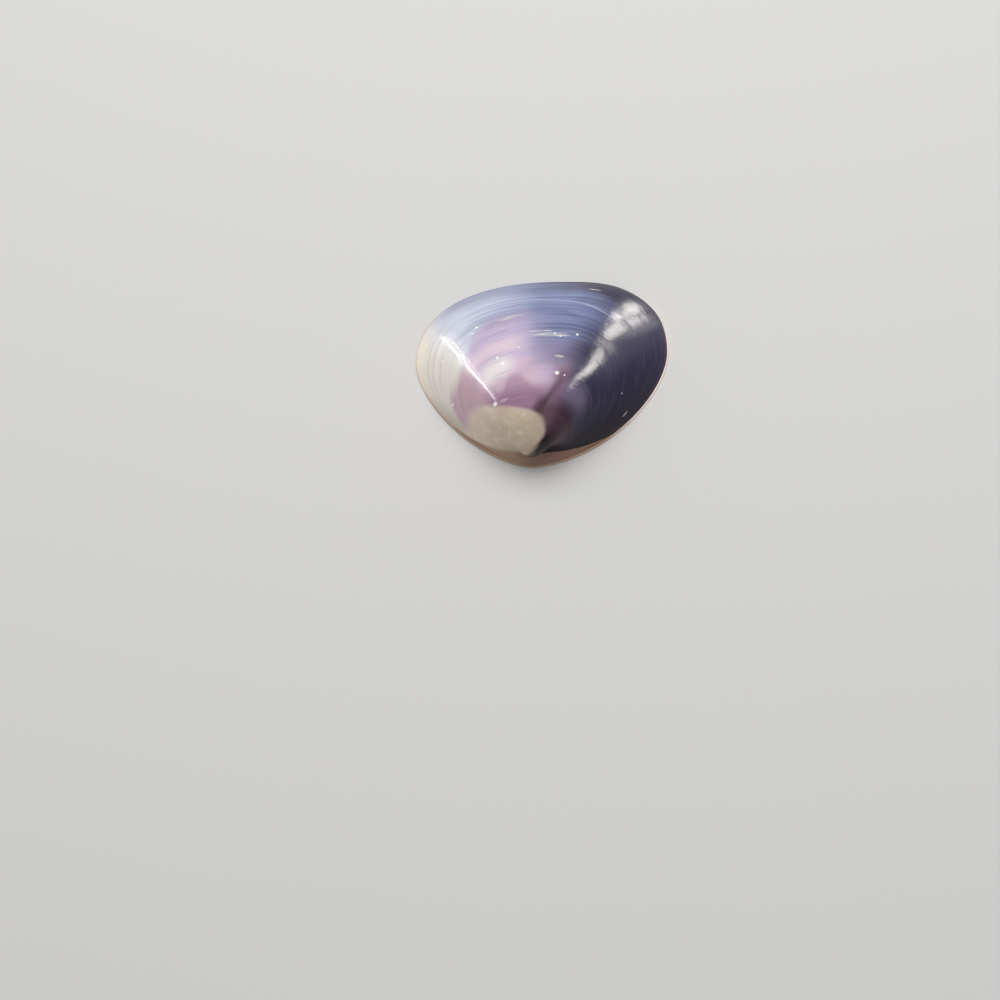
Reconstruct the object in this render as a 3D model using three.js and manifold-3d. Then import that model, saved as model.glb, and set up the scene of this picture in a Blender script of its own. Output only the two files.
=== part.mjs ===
// One valve of a freshwater clam, lying hollow side down on its own rim.
// Millimetres, +Z up. +X runs to the hind end of the shell and +Y to its belly margin.
// The hinge is on the -Y side.
//
// A clam grows by adding to its margin, and every older margin is a smaller copy of the present one, swung up
// about the hinge. The outer face is the margin scaled down and turned about the beak, a logarithmic spiral.
import * as THREE from "three";
import { mergeVertices } from "three/addons/utils/BufferGeometryUtils.js";
import Module from "manifold-3d";

// Margin, seen from above and measured from the beak
const FRONT_REACH = 33;
const HIND_REACH = 37;
const FRONT_END_Y = 29.5;
const HIND_END_Y = 34.5;
const BELLY_Y = 56.5;
const BELLY_X = 11;
const HINGE_Y = -1.3;
// Roundness of the four quarters of the margin: 1 is a straight slant, 2 an ellipse, more is squarer
const ROUND_HINGE_TO_HIND = 1.67;
const ROUND_HIND_TO_BELLY = 2.16;
const ROUND_BELLY_TO_FRONT = 2.32;
const ROUND_FRONT_TO_HINGE = 1.6;
// Younger margins were rounder beside the hinge, by up to this much, reached over about this swing in radians
const YOUNG_ROUNDER = 0.6;
const YOUNG_SWING = 0.6;
// The point inside the margin that every inset is measured towards
const HEART = new THREE.Vector2(4, 28);

// Outer spiral
const BEAK = new THREE.Vector3(0, 0, 3);
const OUTER_TIGHTNESS = 1.15;
const OUTER_SWING = THREE.MathUtils.degToRad(200);
const OUTER_RINGS = 27;
const OUTER_CROWDING = 1.25;

// Rim that the valve stands on
const LIP_HEIGHT = 0.6;
const LIP_INSET = 0.4;
const LIP_BULGE_HEIGHT = 0.25;
const RIM_OUTER_INSET = 0.3;
const RIM_INNER_INSET = 1.5;

// Hinge plate, set back from the rim so that the teeth don't touch the ground
const PLATE_STEP = 0.6;
const PLATE_DEPTH = 1.3;
const PLATE_FALL = 0.2;
const HOLLOW_EDGE_DEPTH = 0.6;
const PLATE_WIDTH = 6.2;
const PLATE_FADE_HIND = [0.3, 0.78];
const PLATE_FADE_FRONT = [0.25, 0.66];

// Hollow, a second spiral about a pole of its own under the beak
const HOLLOW_POLE = new THREE.Vector3(0.5, 1, 5);
const HOLLOW_TIGHTNESS = 1.36;
const HOLLOW_SWING = THREE.MathUtils.degToRad(150);
const HOLLOW_RINGS = 15;
const HOLLOW_CROWDING = 1.1;

// Hinge teeth: long side teeth follow the margin, short middle teeth fan out below the beak
const TOOTH_TIP = 0.3;
const TOOTH_ROOT = 2.6;
const SIDE_TOOTH_WIDTH = 1.1;
const SIDE_TOOTH_TIP_SHARE = 0.25;
const SIDE_TOOTH_INSETS = [2.7, 4.9];
const SIDE_TOOTH_STEPS = 10;
const HIND_TEETH_TURNS = [0.24, 0.6];
const FRONT_TEETH_TURNS = [-0.52, -0.22];
const MIDDLE_TOOTH_DIRECTIONS = [-38, -6, 30];
const MIDDLE_TOOTH_WIDTHS = [1, 1.7, 1.5];
const MIDDLE_TOOTH_START = 1.6;
const MIDDLE_TOOTH_LENGTH = 4.8;

const MERGE_DISTANCE = 1e-4;
const SIDES_PER_QUARTER = 22;
const SIDES = 4 * SIDES_PER_QUARTER;
const SHELL_COLOUR = 0x6f6c92;

// Share of the way from low to high, eased at both ends.
const eased = (value, [low, high]) => THREE.MathUtils.smoothstep(value, low, high);

// A quarter of a superellipse about its centre, from the end of its first half-axis to the end of its second.
function quarter(centre, first, second, roundness, angle) {
  const power = 2 / roundness;
  const point = centre.clone();
  point.addScaledVector(first, Math.cos(angle) ** power);
  return point.addScaledVector(second, Math.sin(angle) ** power);
}

// The margin at a turn: 0 is the hinge, 1 the hind end, 2 the belly, 3 the front end and 4 the hinge again.
// The swing is how far back in growth the margin lies: 0 is the present one.
function marginPoint(turn, swing) {
  const vector = (x, y) => new THREE.Vector2(x, y);
  const whole = Math.floor(turn) % 4;
  const angle = ((turn - Math.floor(turn)) * Math.PI) / 2;
  const rounder = YOUNG_ROUNDER * (1 - Math.exp(-swing / YOUNG_SWING));
  const hindHalves = { hinge: vector(0, HINGE_Y - HIND_END_Y), belly: vector(0, BELLY_Y - HIND_END_Y) };
  const frontHalves = { hinge: vector(0, HINGE_Y - FRONT_END_Y), belly: vector(0, BELLY_Y - FRONT_END_Y) };
  const bellyToHind = vector(HIND_REACH - BELLY_X, 0);
  const bellyToFront = vector(-FRONT_REACH - BELLY_X, 0);
  const quarters = [
    [vector(0, HIND_END_Y), hindHalves.hinge, vector(HIND_REACH, 0), ROUND_HINGE_TO_HIND + rounder],
    [vector(BELLY_X, HIND_END_Y), bellyToHind, hindHalves.belly, ROUND_HIND_TO_BELLY],
    [vector(BELLY_X, FRONT_END_Y), frontHalves.belly, bellyToFront, ROUND_BELLY_TO_FRONT],
    [vector(0, FRONT_END_Y), vector(-FRONT_REACH, 0), frontHalves.hinge, ROUND_FRONT_TO_HINGE + rounder],
  ];
  return quarter(...quarters[whole], angle);
}

// The margin moved in towards the heart of the shell by a distance, at a height above the ground.
function insetPoint(turn, distance, height, swing = 0) {
  const edge = marginPoint((turn + 4) % 4, swing);
  const inwards = HEART.clone().sub(edge).normalize();
  edge.addScaledVector(inwards, distance);
  return new THREE.Vector3(edge.x, edge.y, height);
}

// Turn counted from the hinge: positive towards the hind end, negative towards the front.
const turnFromHinge = (turn) => (turn > 2 ? turn - 4 : turn);

// How much of the hinge plate there is at a turn, from 1 under the beak to 0 where the plate has run out.
function plateShare(turn) {
  const away = turnFromHinge(turn);
  return 1 - (away > 0 ? eased(away, PLATE_FADE_HIND) : eased(-away, PLATE_FADE_FRONT));
}

// One closed row of points round the shell.
function ring(pointAt) {
  return Array.from({ length: SIDES }, (_, side) => pointAt(side / SIDES_PER_QUARTER));
}

// A point scaled towards the pole and swung up about the hinge direction, as a younger margin lies.
function swungPoint(point, pole, tightness, swing) {
  const arm = point.clone().sub(pole);
  arm.applyAxisAngle(new THREE.Vector3(1, 0, 0), swing);
  return arm.multiplyScalar(Math.exp(-tightness * swing)).add(pole);
}

// Rows of a spiral face, from its edge to its pole.
function spiralRings(edgeAt, pole, tightness, fullSwing, count, crowding) {
  return Array.from({ length: count }, (_, row) => {
    const swing = fullSwing * (row / (count - 1)) ** crowding;
    return ring((turn) => swungPoint(edgeAt(turn, swing), pole, tightness, swing));
  });
}

// A closed skin over a stack of rings that starts and ends in a single point.
function closedSkin(firstPoint, rings, lastPoint) {
  const positions = [firstPoint, ...rings.flat(), lastPoint].flatMap((p) => p.toArray());
  const index = [];
  const last = SIDES * rings.length + 1;
  const at = (row, side) => 1 + row * SIDES + (side % SIDES);
  for (let side = 0; side < SIDES; side++) {
    index.push(0, at(0, side), at(0, side + 1));
    index.push(last, at(rings.length - 1, side + 1), at(rings.length - 1, side));
    for (let row = 0; row < rings.length - 1; row++) {
      index.push(at(row, side), at(row + 1, side), at(row + 1, side + 1));
      index.push(at(row, side), at(row + 1, side + 1), at(row, side + 1));
    }
  }
  const geometry = new THREE.BufferGeometry();
  geometry.setAttribute("position", new THREE.Float32BufferAttribute(positions, 3));
  geometry.setIndex(index);
  return geometry;
}

// The valve without its teeth: outer face, rim, hinge plate and hollow as one skin.
function valveBody() {
  const lipEdge = (turn, swing) => insetPoint(turn, LIP_INSET, LIP_HEIGHT, swing);
  const beak = BEAK.clone().setZ(BEAK.z + LIP_HEIGHT);
  const outer = spiralRings(
    lipEdge, beak, OUTER_TIGHTNESS, OUTER_SWING, OUTER_RINGS, OUTER_CROWDING,
  ).reverse();

  const plateStart = RIM_INNER_INSET + PLATE_STEP;
  const plateDepth = (turn) => THREE.MathUtils.lerp(HOLLOW_EDGE_DEPTH, PLATE_DEPTH, plateShare(turn));
  const plateEnd = (turn, swing) => {
    const inset = plateStart + PLATE_STEP + PLATE_WIDTH * plateShare(turn);
    return insetPoint(turn, inset, plateDepth(turn) + PLATE_FALL, swing);
  };
  const rim = [
    ring((turn) => insetPoint(turn, 0, LIP_BULGE_HEIGHT)),
    ring((turn) => insetPoint(turn, RIM_OUTER_INSET, 0)),
    ring((turn) => insetPoint(turn, RIM_INNER_INSET, 0)),
    ring((turn) => insetPoint(turn, plateStart, plateDepth(turn))),
  ];
  const hollow = spiralRings(
    plateEnd, HOLLOW_POLE, HOLLOW_TIGHTNESS, HOLLOW_SWING, HOLLOW_RINGS, HOLLOW_CROWDING,
  );
  return closedSkin(beak, [...outer, ...rim, ...hollow], HOLLOW_POLE);
}

// A flat outline on the hinge plate, drawn down from inside the plate to the tip of a tooth.
function toothFrom(outline) {
  const shape = new THREE.Shape(outline);
  const tooth = new THREE.ExtrudeGeometry(shape, { depth: TOOTH_ROOT - TOOTH_TIP, bevelEnabled: false });
  return tooth.translate(0, 0, TOOTH_TIP);
}

// A long tooth that follows the margin at an inset, tapered at both ends.
function sideTooth([firstTurn, lastTurn], inset) {
  const steps = Array.from({ length: SIDE_TOOTH_STEPS + 1 }, (_, step) => step / SIDE_TOOTH_STEPS);
  const along = (step, side) => {
    const fullness = THREE.MathUtils.lerp(SIDE_TOOTH_TIP_SHARE, 1, Math.sin(Math.PI * step));
    const halfWidth = (SIDE_TOOTH_WIDTH / 2) * fullness;
    const point = insetPoint(THREE.MathUtils.lerp(firstTurn, lastTurn, step), inset + side * halfWidth, 0);
    return new THREE.Vector2(point.x, point.y);
  };
  const out = steps.map((step) => along(step, -1));
  const back = steps.map((step) => along(step, 1)).reverse();
  return toothFrom([...out, ...back]);
}

// A short wedge that widens away from the beak, in a direction measured from straight down the shell.
function middleTooth(directionDegrees, width) {
  const direction = THREE.MathUtils.degToRad(directionDegrees);
  const forward = new THREE.Vector2(Math.sin(direction), Math.cos(direction));
  const across = new THREE.Vector2(forward.y, -forward.x);
  const corner = (distance, halfWidth) => {
    return forward.clone().multiplyScalar(distance).addScaledVector(across, halfWidth);
  };
  const end = MIDDLE_TOOTH_START + MIDDLE_TOOTH_LENGTH;
  return toothFrom([
    corner(MIDDLE_TOOTH_START, -width / 4),
    corner(MIDDLE_TOOTH_START, width / 4),
    corner(end, width / 2),
    corner(end, -width / 2),
  ]);
}

const wasm = await Module();
wasm.setup();

// A closed geometry as a solid that can be joined to others.
function solidFrom(geometry) {
  const bare = new THREE.BufferGeometry();
  bare.setAttribute("position", geometry.getAttribute("position"));
  bare.setIndex(geometry.index);
  const merged = mergeVertices(bare, MERGE_DISTANCE);
  const vertProperties = merged.getAttribute("position").array;
  const triVerts = new Uint32Array(merged.index.array);
  return new wasm.Manifold(new wasm.Mesh({ numProp: 3, vertProperties, triVerts }));
}

// A solid's surface as a three.js geometry.
function geometryFrom(solid) {
  const mesh = solid.getMesh();
  const geometry = new THREE.BufferGeometry();
  geometry.setAttribute("position", new THREE.Float32BufferAttribute(mesh.vertProperties, 3));
  geometry.setIndex(new THREE.BufferAttribute(mesh.triVerts, 1));
  geometry.computeVertexNormals();
  return geometry;
}

function valveGeometry() {
  const sideTeeth = [HIND_TEETH_TURNS, FRONT_TEETH_TURNS].flatMap((turns) =>
    SIDE_TOOTH_INSETS.map((inset) => sideTooth(turns, inset)),
  );
  const middleTeeth = MIDDLE_TOOTH_DIRECTIONS.map((direction, tooth) =>
    middleTooth(direction, MIDDLE_TOOTH_WIDTHS[tooth]),
  );
  const teeth = [...sideTeeth, ...middleTeeth].map(solidFrom);
  const whole = teeth.reduce((solid, tooth) => solid.add(tooth), solidFrom(valveBody()));
  return geometryFrom(whole);
}

const shellMaterial = new THREE.MeshStandardMaterial({ color: SHELL_COLOUR, roughness: 0.2, metalness: 0 });
const valve = new THREE.Mesh(valveGeometry(), shellMaterial);
valve.name = "valve";

// The part's origin is on the ground under the middle of the shell.
valve.geometry.computeBoundingBox();
const middle = valve.geometry.boundingBox.getCenter(new THREE.Vector3());
valve.position.set(-middle.x, -middle.y, 0);

const clamShell = new THREE.Group();
clamShell.name = "clam_shell";
clamShell.add(valve);

export default clamShell;
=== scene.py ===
# %% [markdown]
# # A polished freshwater clam shell
#
# The object is one valve of a clam, lying hollow side down. The solid model gives its size and place, and
# this lesson gives it its looks: a finer skin worked out from the same growth spiral, and a polished
# finish whose colours follow the lines of growth. Lengths are in millimetres until the mesh is made, in
# metres.

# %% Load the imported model
import math

import bpy
import numpy as np
from mathutils import Matrix, Quaternion, Vector


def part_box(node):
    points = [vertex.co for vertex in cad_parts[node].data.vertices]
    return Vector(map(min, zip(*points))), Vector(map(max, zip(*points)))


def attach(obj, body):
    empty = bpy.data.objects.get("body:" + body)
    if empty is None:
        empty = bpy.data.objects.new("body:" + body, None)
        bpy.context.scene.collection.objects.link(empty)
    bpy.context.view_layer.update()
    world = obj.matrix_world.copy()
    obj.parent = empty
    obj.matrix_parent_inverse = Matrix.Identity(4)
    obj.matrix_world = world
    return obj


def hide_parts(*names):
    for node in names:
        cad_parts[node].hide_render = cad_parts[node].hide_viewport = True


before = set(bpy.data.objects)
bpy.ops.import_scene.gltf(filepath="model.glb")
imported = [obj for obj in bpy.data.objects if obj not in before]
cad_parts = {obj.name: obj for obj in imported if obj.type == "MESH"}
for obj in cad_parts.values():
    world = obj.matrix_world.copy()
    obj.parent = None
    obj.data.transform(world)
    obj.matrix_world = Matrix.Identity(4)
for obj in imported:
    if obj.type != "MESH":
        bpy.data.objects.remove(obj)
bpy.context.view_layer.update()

MILLIMETRE = 0.001
cad_low, cad_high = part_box("valve")
print("solid valve, in metres:", [round(high - low, 4) for low, high in zip(cad_low, cad_high)])

# %% [markdown]
# ## The margin
#
# The margin is the edge that the living clam was adding to. Seen from above it is a rounded triangle, and
# it could be drawn point by point. Four quarters of superellipses say the same with a few numbers: they
# meet at the hinge, the hind end, the belly and the front end, and each has its own roundness. A place on
# the margin is its turn: 0 at the hinge, 1 at the hind end, 2 at the belly, 3 at the front end and 4 at
# the hinge again.

# %% The margin as a formula
FRONT_REACH = 33.0
HIND_REACH = 37.0
FRONT_END_Y = 29.5
HIND_END_Y = 34.5
BELLY_Y = 56.5
BELLY_X = 11.0
HINGE_Y = -1.3
ROUNDNESS = (1.67, 2.16, 2.32, 1.6)
YOUNG_ROUNDER = 0.6
YOUNG_SWING = 0.6
HEART_X, HEART_Y = 4.0, 28.0


def margin(turn, swing):
    """Outline of the shell, measured from the beak, at each turn and each swing back in growth.

    In each quarter, (x / half length) ** roundness + (y / half height) ** roundness = 1. The two quarters
    beside the hinge are rounder in younger margins, by YOUNG_ROUNDER * (1 - exp(-swing / YOUNG_SWING)).
    """
    quarter = np.floor(turn).astype(int) % 4
    angle = (turn % 1) * np.pi / 2
    rounder = YOUNG_ROUNDER * (1 - np.exp(-swing / YOUNG_SWING))
    roundness = np.choose(quarter, [
        ROUNDNESS[0] + rounder,
        ROUNDNESS[1],
        ROUNDNESS[2],
        ROUNDNESS[3] + rounder,
    ])
    fall = np.cos(angle) ** (2 / roundness)
    rise = np.sin(angle) ** (2 / roundness)
    x = np.choose(quarter, [
        HIND_REACH * rise,
        BELLY_X + (HIND_REACH - BELLY_X) * fall,
        BELLY_X - (FRONT_REACH + BELLY_X) * rise,
        -FRONT_REACH * fall,
    ])
    y = np.choose(quarter, [
        HIND_END_Y - (HIND_END_Y - HINGE_Y) * fall,
        HIND_END_Y + (BELLY_Y - HIND_END_Y) * rise,
        FRONT_END_Y + (BELLY_Y - FRONT_END_Y) * fall,
        FRONT_END_Y - (FRONT_END_Y - HINGE_Y) * rise,
    ])
    return x, y


def inset(turn, distance, swing=0.0):
    """The margin moved a distance straight towards the heart of the shell."""
    x, y = margin(turn, swing)
    reach = np.hypot(HEART_X - x, HEART_Y - y)
    return x + (HEART_X - x) / reach * distance, y + (HEART_Y - y) / reach * distance


TURNS = 320
HINGE_CROWDING = 0.3
even_turn = np.linspace(0, 4, TURNS + 1)
turn_edges = even_turn - HINGE_CROWDING * np.sin(even_turn * np.pi / 2)
turn = turn_edges[None, :-1]
print("margin points:", TURNS, "closest together at the hinge, where the teeth are")

# %% [markdown]
# ## Growth as a spiral
#
# Every older margin is a smaller copy of the present one, swung up about the hinge: the shell is a
# logarithmic spiral. It could be sculpted, but the formula also gives each point its age, and the colours
# follow that. Growth is the size of a margin against the present one, from nearly 0 at the beak to 1 at
# the edge.

# %% The outer face
BEAK = (0.0, 0.0, 3.6)
OUTER_TIGHTNESS = 1.15
OUTER_SWING = math.radians(200)
LIP_INSET = 0.4
LIP_HEIGHT = 0.6
OUTER_ROWS = 190
OUTER_CROWDING = 1.2


def swung(x, y, z, pole, tightness, swing):
    """Points scaled towards a pole by exp(-tightness * swing) and turned about it by the swing, round x."""
    scale = np.exp(-tightness * swing)
    arm_x, arm_y, arm_z = x - pole[0], y - pole[1], z - pole[2]
    return np.stack([
        pole[0] + scale * arm_x,
        pole[1] + scale * (arm_y * np.cos(swing) - arm_z * np.sin(swing)),
        pole[2] + scale * (arm_y * np.sin(swing) + arm_z * np.cos(swing)),
    ], axis=-1)


def growth_rows(tightness, full_swing, rows, crowding):
    """Growth from its least, at the full swing, up to 1, as a column of rows crowded towards the least."""
    least = math.exp(-tightness * full_swing)
    return least + (1 - least) * np.linspace(0, 1, rows)[:, None] ** crowding


outer_growth = growth_rows(OUTER_TIGHTNESS, OUTER_SWING, OUTER_ROWS, OUTER_CROWDING)
outer_swing = -np.log(outer_growth) / OUTER_TIGHTNESS
outer_x, outer_y = inset(turn, LIP_INSET, outer_swing)
outer_face = swung(outer_x, outer_y, LIP_HEIGHT, BEAK, OUTER_TIGHTNESS, outer_swing)
print("outer face:", outer_face.shape[:2], "crown at", round(outer_face[..., 2].max(), 1), "mm")

# %% [markdown]
# ## Relief of the outer face
#
# Polishing has left the dome nearly smooth. What stays are shallow grooves where growth rested, faint
# wrinkles between them, a lumpy beak, a hind margin that turns up a little, and a strip beside the hinge
# that the polishing wheel never reached, a little lower than the rest. A displacement modifier with
# textures could do this. Formulas in growth and turn keep the grooves on the lines of growth, and each
# gives a move of less than a millimetre along the normal.

# %% Relief of the outer face
REST_GROOVES = ((0.625, 0.05, 0.024), (0.815, 0.02, 0.012), (0.90, 0.02, 0.014), (0.40, 0.04, 0.02))
FRONT_TURNS = (2.0, 2.5)
FRONT_SHALLOWER = 0.5
WRINKLES = 34
WRINKLE_HEIGHT = 0.0016
WRINKLE_WOBBLE = 1.5
WOBBLES = 17
WRINKLED_GROWTH = (0.3, 0.6)
STRIP_DEPTH = 0.14
STRIP_HUMPS = ((3.1, 8.0, 15.0), (3.0, -2.0, 21.0))
STRIP_SOFTNESS = 0.25
STRIP_END_Y = (15.0, 19.0)
LUMP_WAVES = ((1.3, 0.8, 0.0), (0.0, 1.7, -0.9))
WORN_GROWTH = (0.15, 0.3)
WORN_HEIGHT = 0.05
FLARE_HEIGHT = 0.8
FLARE_GROWTH = 0.8
FLARE_TURNS = (1.0, 1.4, 1.7, 2.1)


def eased(value, low, high):
    """Smoothstep: 0 below low, 1 above high, and 3 s ** 2 - 2 s ** 3 of the share s of the way between."""
    share = np.clip((value - low) / (high - low), 0, 1)
    return share * share * (3 - 2 * share)


def strip_top(x):
    """Height up to which the wall beside the hinge is unpolished: the higher of two parabolas in x."""
    humps = [height * (1 - ((x - middle) / half_length) ** 2) for height, middle, half_length in STRIP_HUMPS]
    return np.maximum(*humps)


def flare(growth):
    """How far the hind margin turns up: a smooth step in growth, times one up and one down in turn."""
    start, full, fade, end = FLARE_TURNS
    beside = eased(turn, start, full) * (1 - eased(turn, fade, end))
    return FLARE_HEIGHT * beside * eased(growth, FLARE_GROWTH, 1)


def outer_relief(points, growth):
    """Height of everything that stands out of or into the smooth dome, added up at each point.

    A groove is a bell curve in growth, the wrinkles a sine of growth whose phase wobbles, the lumps of the
    beak a product of two sines of the place, and the strip a smooth step at its upper edge and at its ends.
    """
    height = np.zeros(points.shape[:2])
    shallower = 1 - FRONT_SHALLOWER * eased(turn, *FRONT_TURNS)
    for at, depth, width in REST_GROOVES:
        height -= depth * shallower * np.exp(-(((growth - at) / width) ** 2))
    phase = 2 * np.pi * WRINKLES * growth + WRINKLE_WOBBLE * np.sin(WOBBLES * growth) + np.sin(2 * turn)
    height += WRINKLE_HEIGHT * np.sin(phase) * eased(growth, *WRINKLED_GROWTH)
    first_wave, second_wave = (np.sin(points @ np.array(wave)) for wave in LUMP_WAVES)
    height += WORN_HEIGHT * first_wave * second_wave * (1 - eased(growth, *WORN_GROWTH))
    x, y, z = points[..., 0], points[..., 1], points[..., 2]
    strip = eased(strip_top(x) - z, -STRIP_SOFTNESS, STRIP_SOFTNESS) * (1 - eased(y, *STRIP_END_Y))
    return height - STRIP_DEPTH * strip + flare(growth)


print("deepest groove:", max(depth for _, depth, _ in REST_GROOVES), "mm")

# %% [markdown]
# ## Lip and rim
#
# At the margin the polished face ends in a thin rounded lip, and the valve stands on a flat rim just
# inside it. A bevel modifier could round the edge, but two quarter ellipses carried round the margin give
# the lip its true, uneven shape: higher outside, and tighter underneath.

# %% Lip and rim
LIP_BULGE_HEIGHT = 0.25
RIM_OUTER_INSET = 0.3
RIM_INNER_INSET = 1.5
LIP_ROWS = 6
RIM_ROWS = 3


def carried(insets, heights):
    """A profile of insets and heights, one row for each, carried round the margin."""
    x, y = inset(turn, insets)
    return np.stack([x, y, np.broadcast_to(heights, x.shape)], axis=-1)


lip_angle = np.linspace(0, np.pi / 2, LIP_ROWS + 1)[1:, None]
upper_lip = carried(
    LIP_INSET * (1 - np.sin(lip_angle)),
    LIP_BULGE_HEIGHT + (LIP_HEIGHT - LIP_BULGE_HEIGHT) * np.cos(lip_angle),
)
lower_lip = carried(RIM_OUTER_INSET * (1 - np.cos(lip_angle)), LIP_BULGE_HEIGHT * (1 - np.sin(lip_angle)))
rim_insets = np.linspace(RIM_OUTER_INSET, RIM_INNER_INSET, RIM_ROWS + 1)[1:, None]
rim = carried(rim_insets, np.zeros_like(rim_insets))
lip = np.concatenate([upper_lip, lower_lip])
print("lip and rim rows:", len(lip), len(rim), "rim width", RIM_INNER_INSET - RIM_OUTER_INSET, "mm")

# %% [markdown]
# ## Hinge plate and teeth
#
# Under the beak the wall thickens into a plate that carries the teeth which locked the two valves
# together: long ridges along both sides, finely notched, and a fan of three short teeth in the middle.
# They could be separate blocks pushed into the plate. Raising the plate's own surface instead leaves one
# closed skin.

# %% Hinge plate and teeth
PLATE_STEP = 0.6
PLATE_DEPTH = 1.3
PLATE_FALL = 0.2
HOLLOW_EDGE_DEPTH = 0.6
PLATE_WIDTH = 6.2
PLATE_FADE_HIND = (0.3, 0.78)
PLATE_FADE_FRONT = (0.25, 0.66)
STEP_ROWS = 4
PLATE_ROWS = 32
TOOTH_HEIGHT = 1.0
TOOTH_FULLNESS = 0.7
TOOTH_PLATE_SHARE = 0.3
SIDE_TOOTH_HALF_WIDTH = 0.75
SIDE_TOOTH_INSETS = (2.9, 5.0)
SIDE_TEETH_TURNS = ((0.22, 0.62), (-0.54, -0.2))
SIDE_TOOTH_TAPER = 0.1
NOTCHES_PER_TURN = 90
NOTCH_SHARE = 0.12
MIDDLE_TEETH = ((-38, 1.0), (-6, 1.7), (30, 1.5))
MIDDLE_TOOTH_START = 1.6
MIDDLE_TOOTH_LENGTH = 4.8
MIDDLE_TOOTH_SPREAD = 0.35
MIDDLE_TOOTH_FULL = (0.15, 0.8)

turn_from_hinge = np.where(turn > 2, turn - 4, turn)
plate_share = 1 - np.where(
    turn_from_hinge > 0, eased(turn_from_hinge, *PLATE_FADE_HIND), eased(-turn_from_hinge, *PLATE_FADE_FRONT)
)
plate_depth = HOLLOW_EDGE_DEPTH + (PLATE_DEPTH - HOLLOW_EDGE_DEPTH) * plate_share
plate_start = RIM_INNER_INSET + PLATE_STEP
plate_end = plate_start + PLATE_STEP + PLATE_WIDTH * plate_share

step_share = np.linspace(0, 1, STEP_ROWS + 1)[1:, None]
step = carried(RIM_INNER_INSET + PLATE_STEP * step_share, plate_depth * eased(step_share, 0, 1))
across_plate = np.linspace(0, 1, PLATE_ROWS + 1)[1:, None]
plate_inset = plate_start + (plate_end - plate_start) * across_plate
plate = carried(plate_inset, plate_depth + PLATE_FALL * across_plate)


def ridge(offset, half_width):
    """Section of a tooth: a parabola, 1 in the middle and 0 at the half width, to a power below 1."""
    return np.clip(1 - (offset / half_width) ** 2, 0, 1) ** TOOTH_FULLNESS


def teeth_height(points, insets):
    """How far the teeth stand out of the plate: each is a ridge along its line, eased off at its ends.

    A side tooth keeps one inset and is notched by a sine of the turn. A middle tooth widens along its line.
    """
    height = np.zeros(points.shape[:2])
    notches = 1 - NOTCH_SHARE * (1 + np.sin(2 * np.pi * NOTCHES_PER_TURN * turn_from_hinge))
    for first, last in SIDE_TEETH_TURNS:
        inside = eased(turn_from_hinge, first, first + SIDE_TOOTH_TAPER)
        inside = inside * (1 - eased(turn_from_hinge, last - SIDE_TOOTH_TAPER, last))
        for centre in SIDE_TOOTH_INSETS:
            height = np.maximum(height, inside * notches * ridge(insets - centre, SIDE_TOOTH_HALF_WIDTH))
    for degrees, width in MIDDLE_TEETH:
        direction = math.radians(degrees)
        along = points[..., 0] * math.sin(direction) + points[..., 1] * math.cos(direction)
        across = points[..., 0] * math.cos(direction) - points[..., 1] * math.sin(direction)
        share = np.clip((along - MIDDLE_TOOTH_START) / MIDDLE_TOOTH_LENGTH, 0, 1)
        ends = eased(share, 0, MIDDLE_TOOTH_FULL[0]) * (1 - eased(share, MIDDLE_TOOTH_FULL[1], 1))
        height = np.maximum(height, ends * ridge(across, MIDDLE_TOOTH_SPREAD * width * (1 + share)))
    return TOOTH_HEIGHT * height * eased(plate_share, 0, TOOTH_PLATE_SHARE)


teeth = teeth_height(plate, plate_inset)
side_teeth = len(SIDE_TEETH_TURNS) * len(SIDE_TOOTH_INSETS)
print("teeth:", side_teeth, "side and", len(MIDDLE_TEETH), "middle, up to", round(teeth.max(), 2), "mm")

# %% [markdown]
# ## The hollow
#
# Inside, the shell is a second spiral with a pole of its own, tighter than the outer one, so the wall is
# about 1.5 to 2 mm all over. A Solidify modifier would give an even wall, but not the thick hinge plate.
# The muscles that closed the clam left two shallow scars near the hinge, joined by a thin line along
# which the soft body was fixed.

# %% The hollow
HOLLOW_POLE = (0.5, 1.0, 5.0)
HOLLOW_TIGHTNESS = 1.36
HOLLOW_SWING = math.radians(150)
HOLLOW_ROWS = 58
HOLLOW_CROWDING = 1.15
SCARS = ((0.86, 0.72, 0.13, 0.085), (3.2, 0.74, 0.11, 0.08))
SCAR_DEPTH = 0.15
SCAR_EDGE = (0.8, 1.1)
BODY_LINE_GROWTH = 0.8
BODY_LINE_DEPTH = 0.06
BODY_LINE_WIDTH = 0.012
BODY_LINE_FADE = 0.1

hollow_growth = growth_rows(HOLLOW_TIGHTNESS, HOLLOW_SWING, HOLLOW_ROWS, HOLLOW_CROWDING)[::-1][1:]
hollow_swing = -np.log(hollow_growth) / HOLLOW_TIGHTNESS
hollow_x, hollow_y = inset(turn, plate_end, hollow_swing)
hollow = swung(hollow_x, hollow_y, plate_depth + PLATE_FALL, HOLLOW_POLE, HOLLOW_TIGHTNESS, hollow_swing)


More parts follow.
